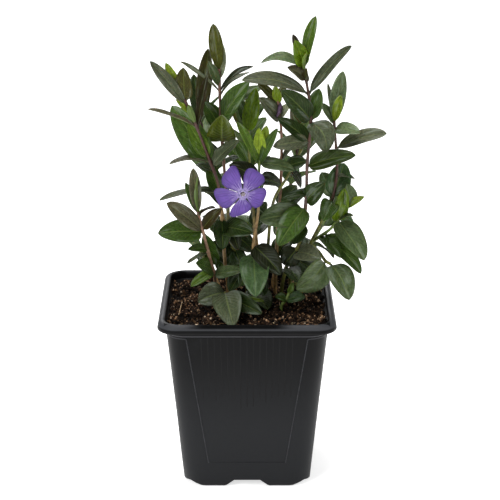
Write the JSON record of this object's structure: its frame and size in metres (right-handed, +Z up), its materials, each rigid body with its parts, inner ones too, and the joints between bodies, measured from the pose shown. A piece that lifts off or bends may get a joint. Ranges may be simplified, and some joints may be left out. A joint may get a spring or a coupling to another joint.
{
  "type": "potted lesser periwinkle",
  "caption": "evergreen groundcover plant with leafy upright stems and a violet flower, growing in a square black nursery pot filled with peat",
  "frame": {"origin": "on the ground under the middle of the pot, on the flat pad in the middle of the pot's underside", "axes": "+Z up out of the pot, -Y towards the front with the flower, +X to the right seen from the front"},
  "size_m": [0.1196, 0.0952, 0.2431],
  "materials": {
    "pot_plastic": "satin black moulded plastic",
    "peat": "crumbly dark brown peat",
    "foliage": "glossy evergreen leaves",
    "petal": "soft violet petals",
    "pistil": "pale cream"
  },
  "bodies": {
    "root": {"pot": "pot_plastic", "soil": "peat", "stem_far_left": "foliage", "stem_low_left": "foliage", "stem_left_tall": "foliage", "stem_centre_front": "foliage", "stem_centre_back": "foliage", "stem_centre_bud": "foliage", "stem_slanting": "foliage", "stem_right_tall": "foliage", "stem_right_forked": "foliage", "shoot_low_front": "foliage", "shoot_low_left": "foliage", "stem_back_left": "foliage", "stem_back_middle": "foliage", "stem_back_right": "foliage", "stem_back_far_right": "foliage", "stem_back_far_left": "foliage", "corolla": "petal", "pistil": "pistil"}
  },
  "joints": []
}
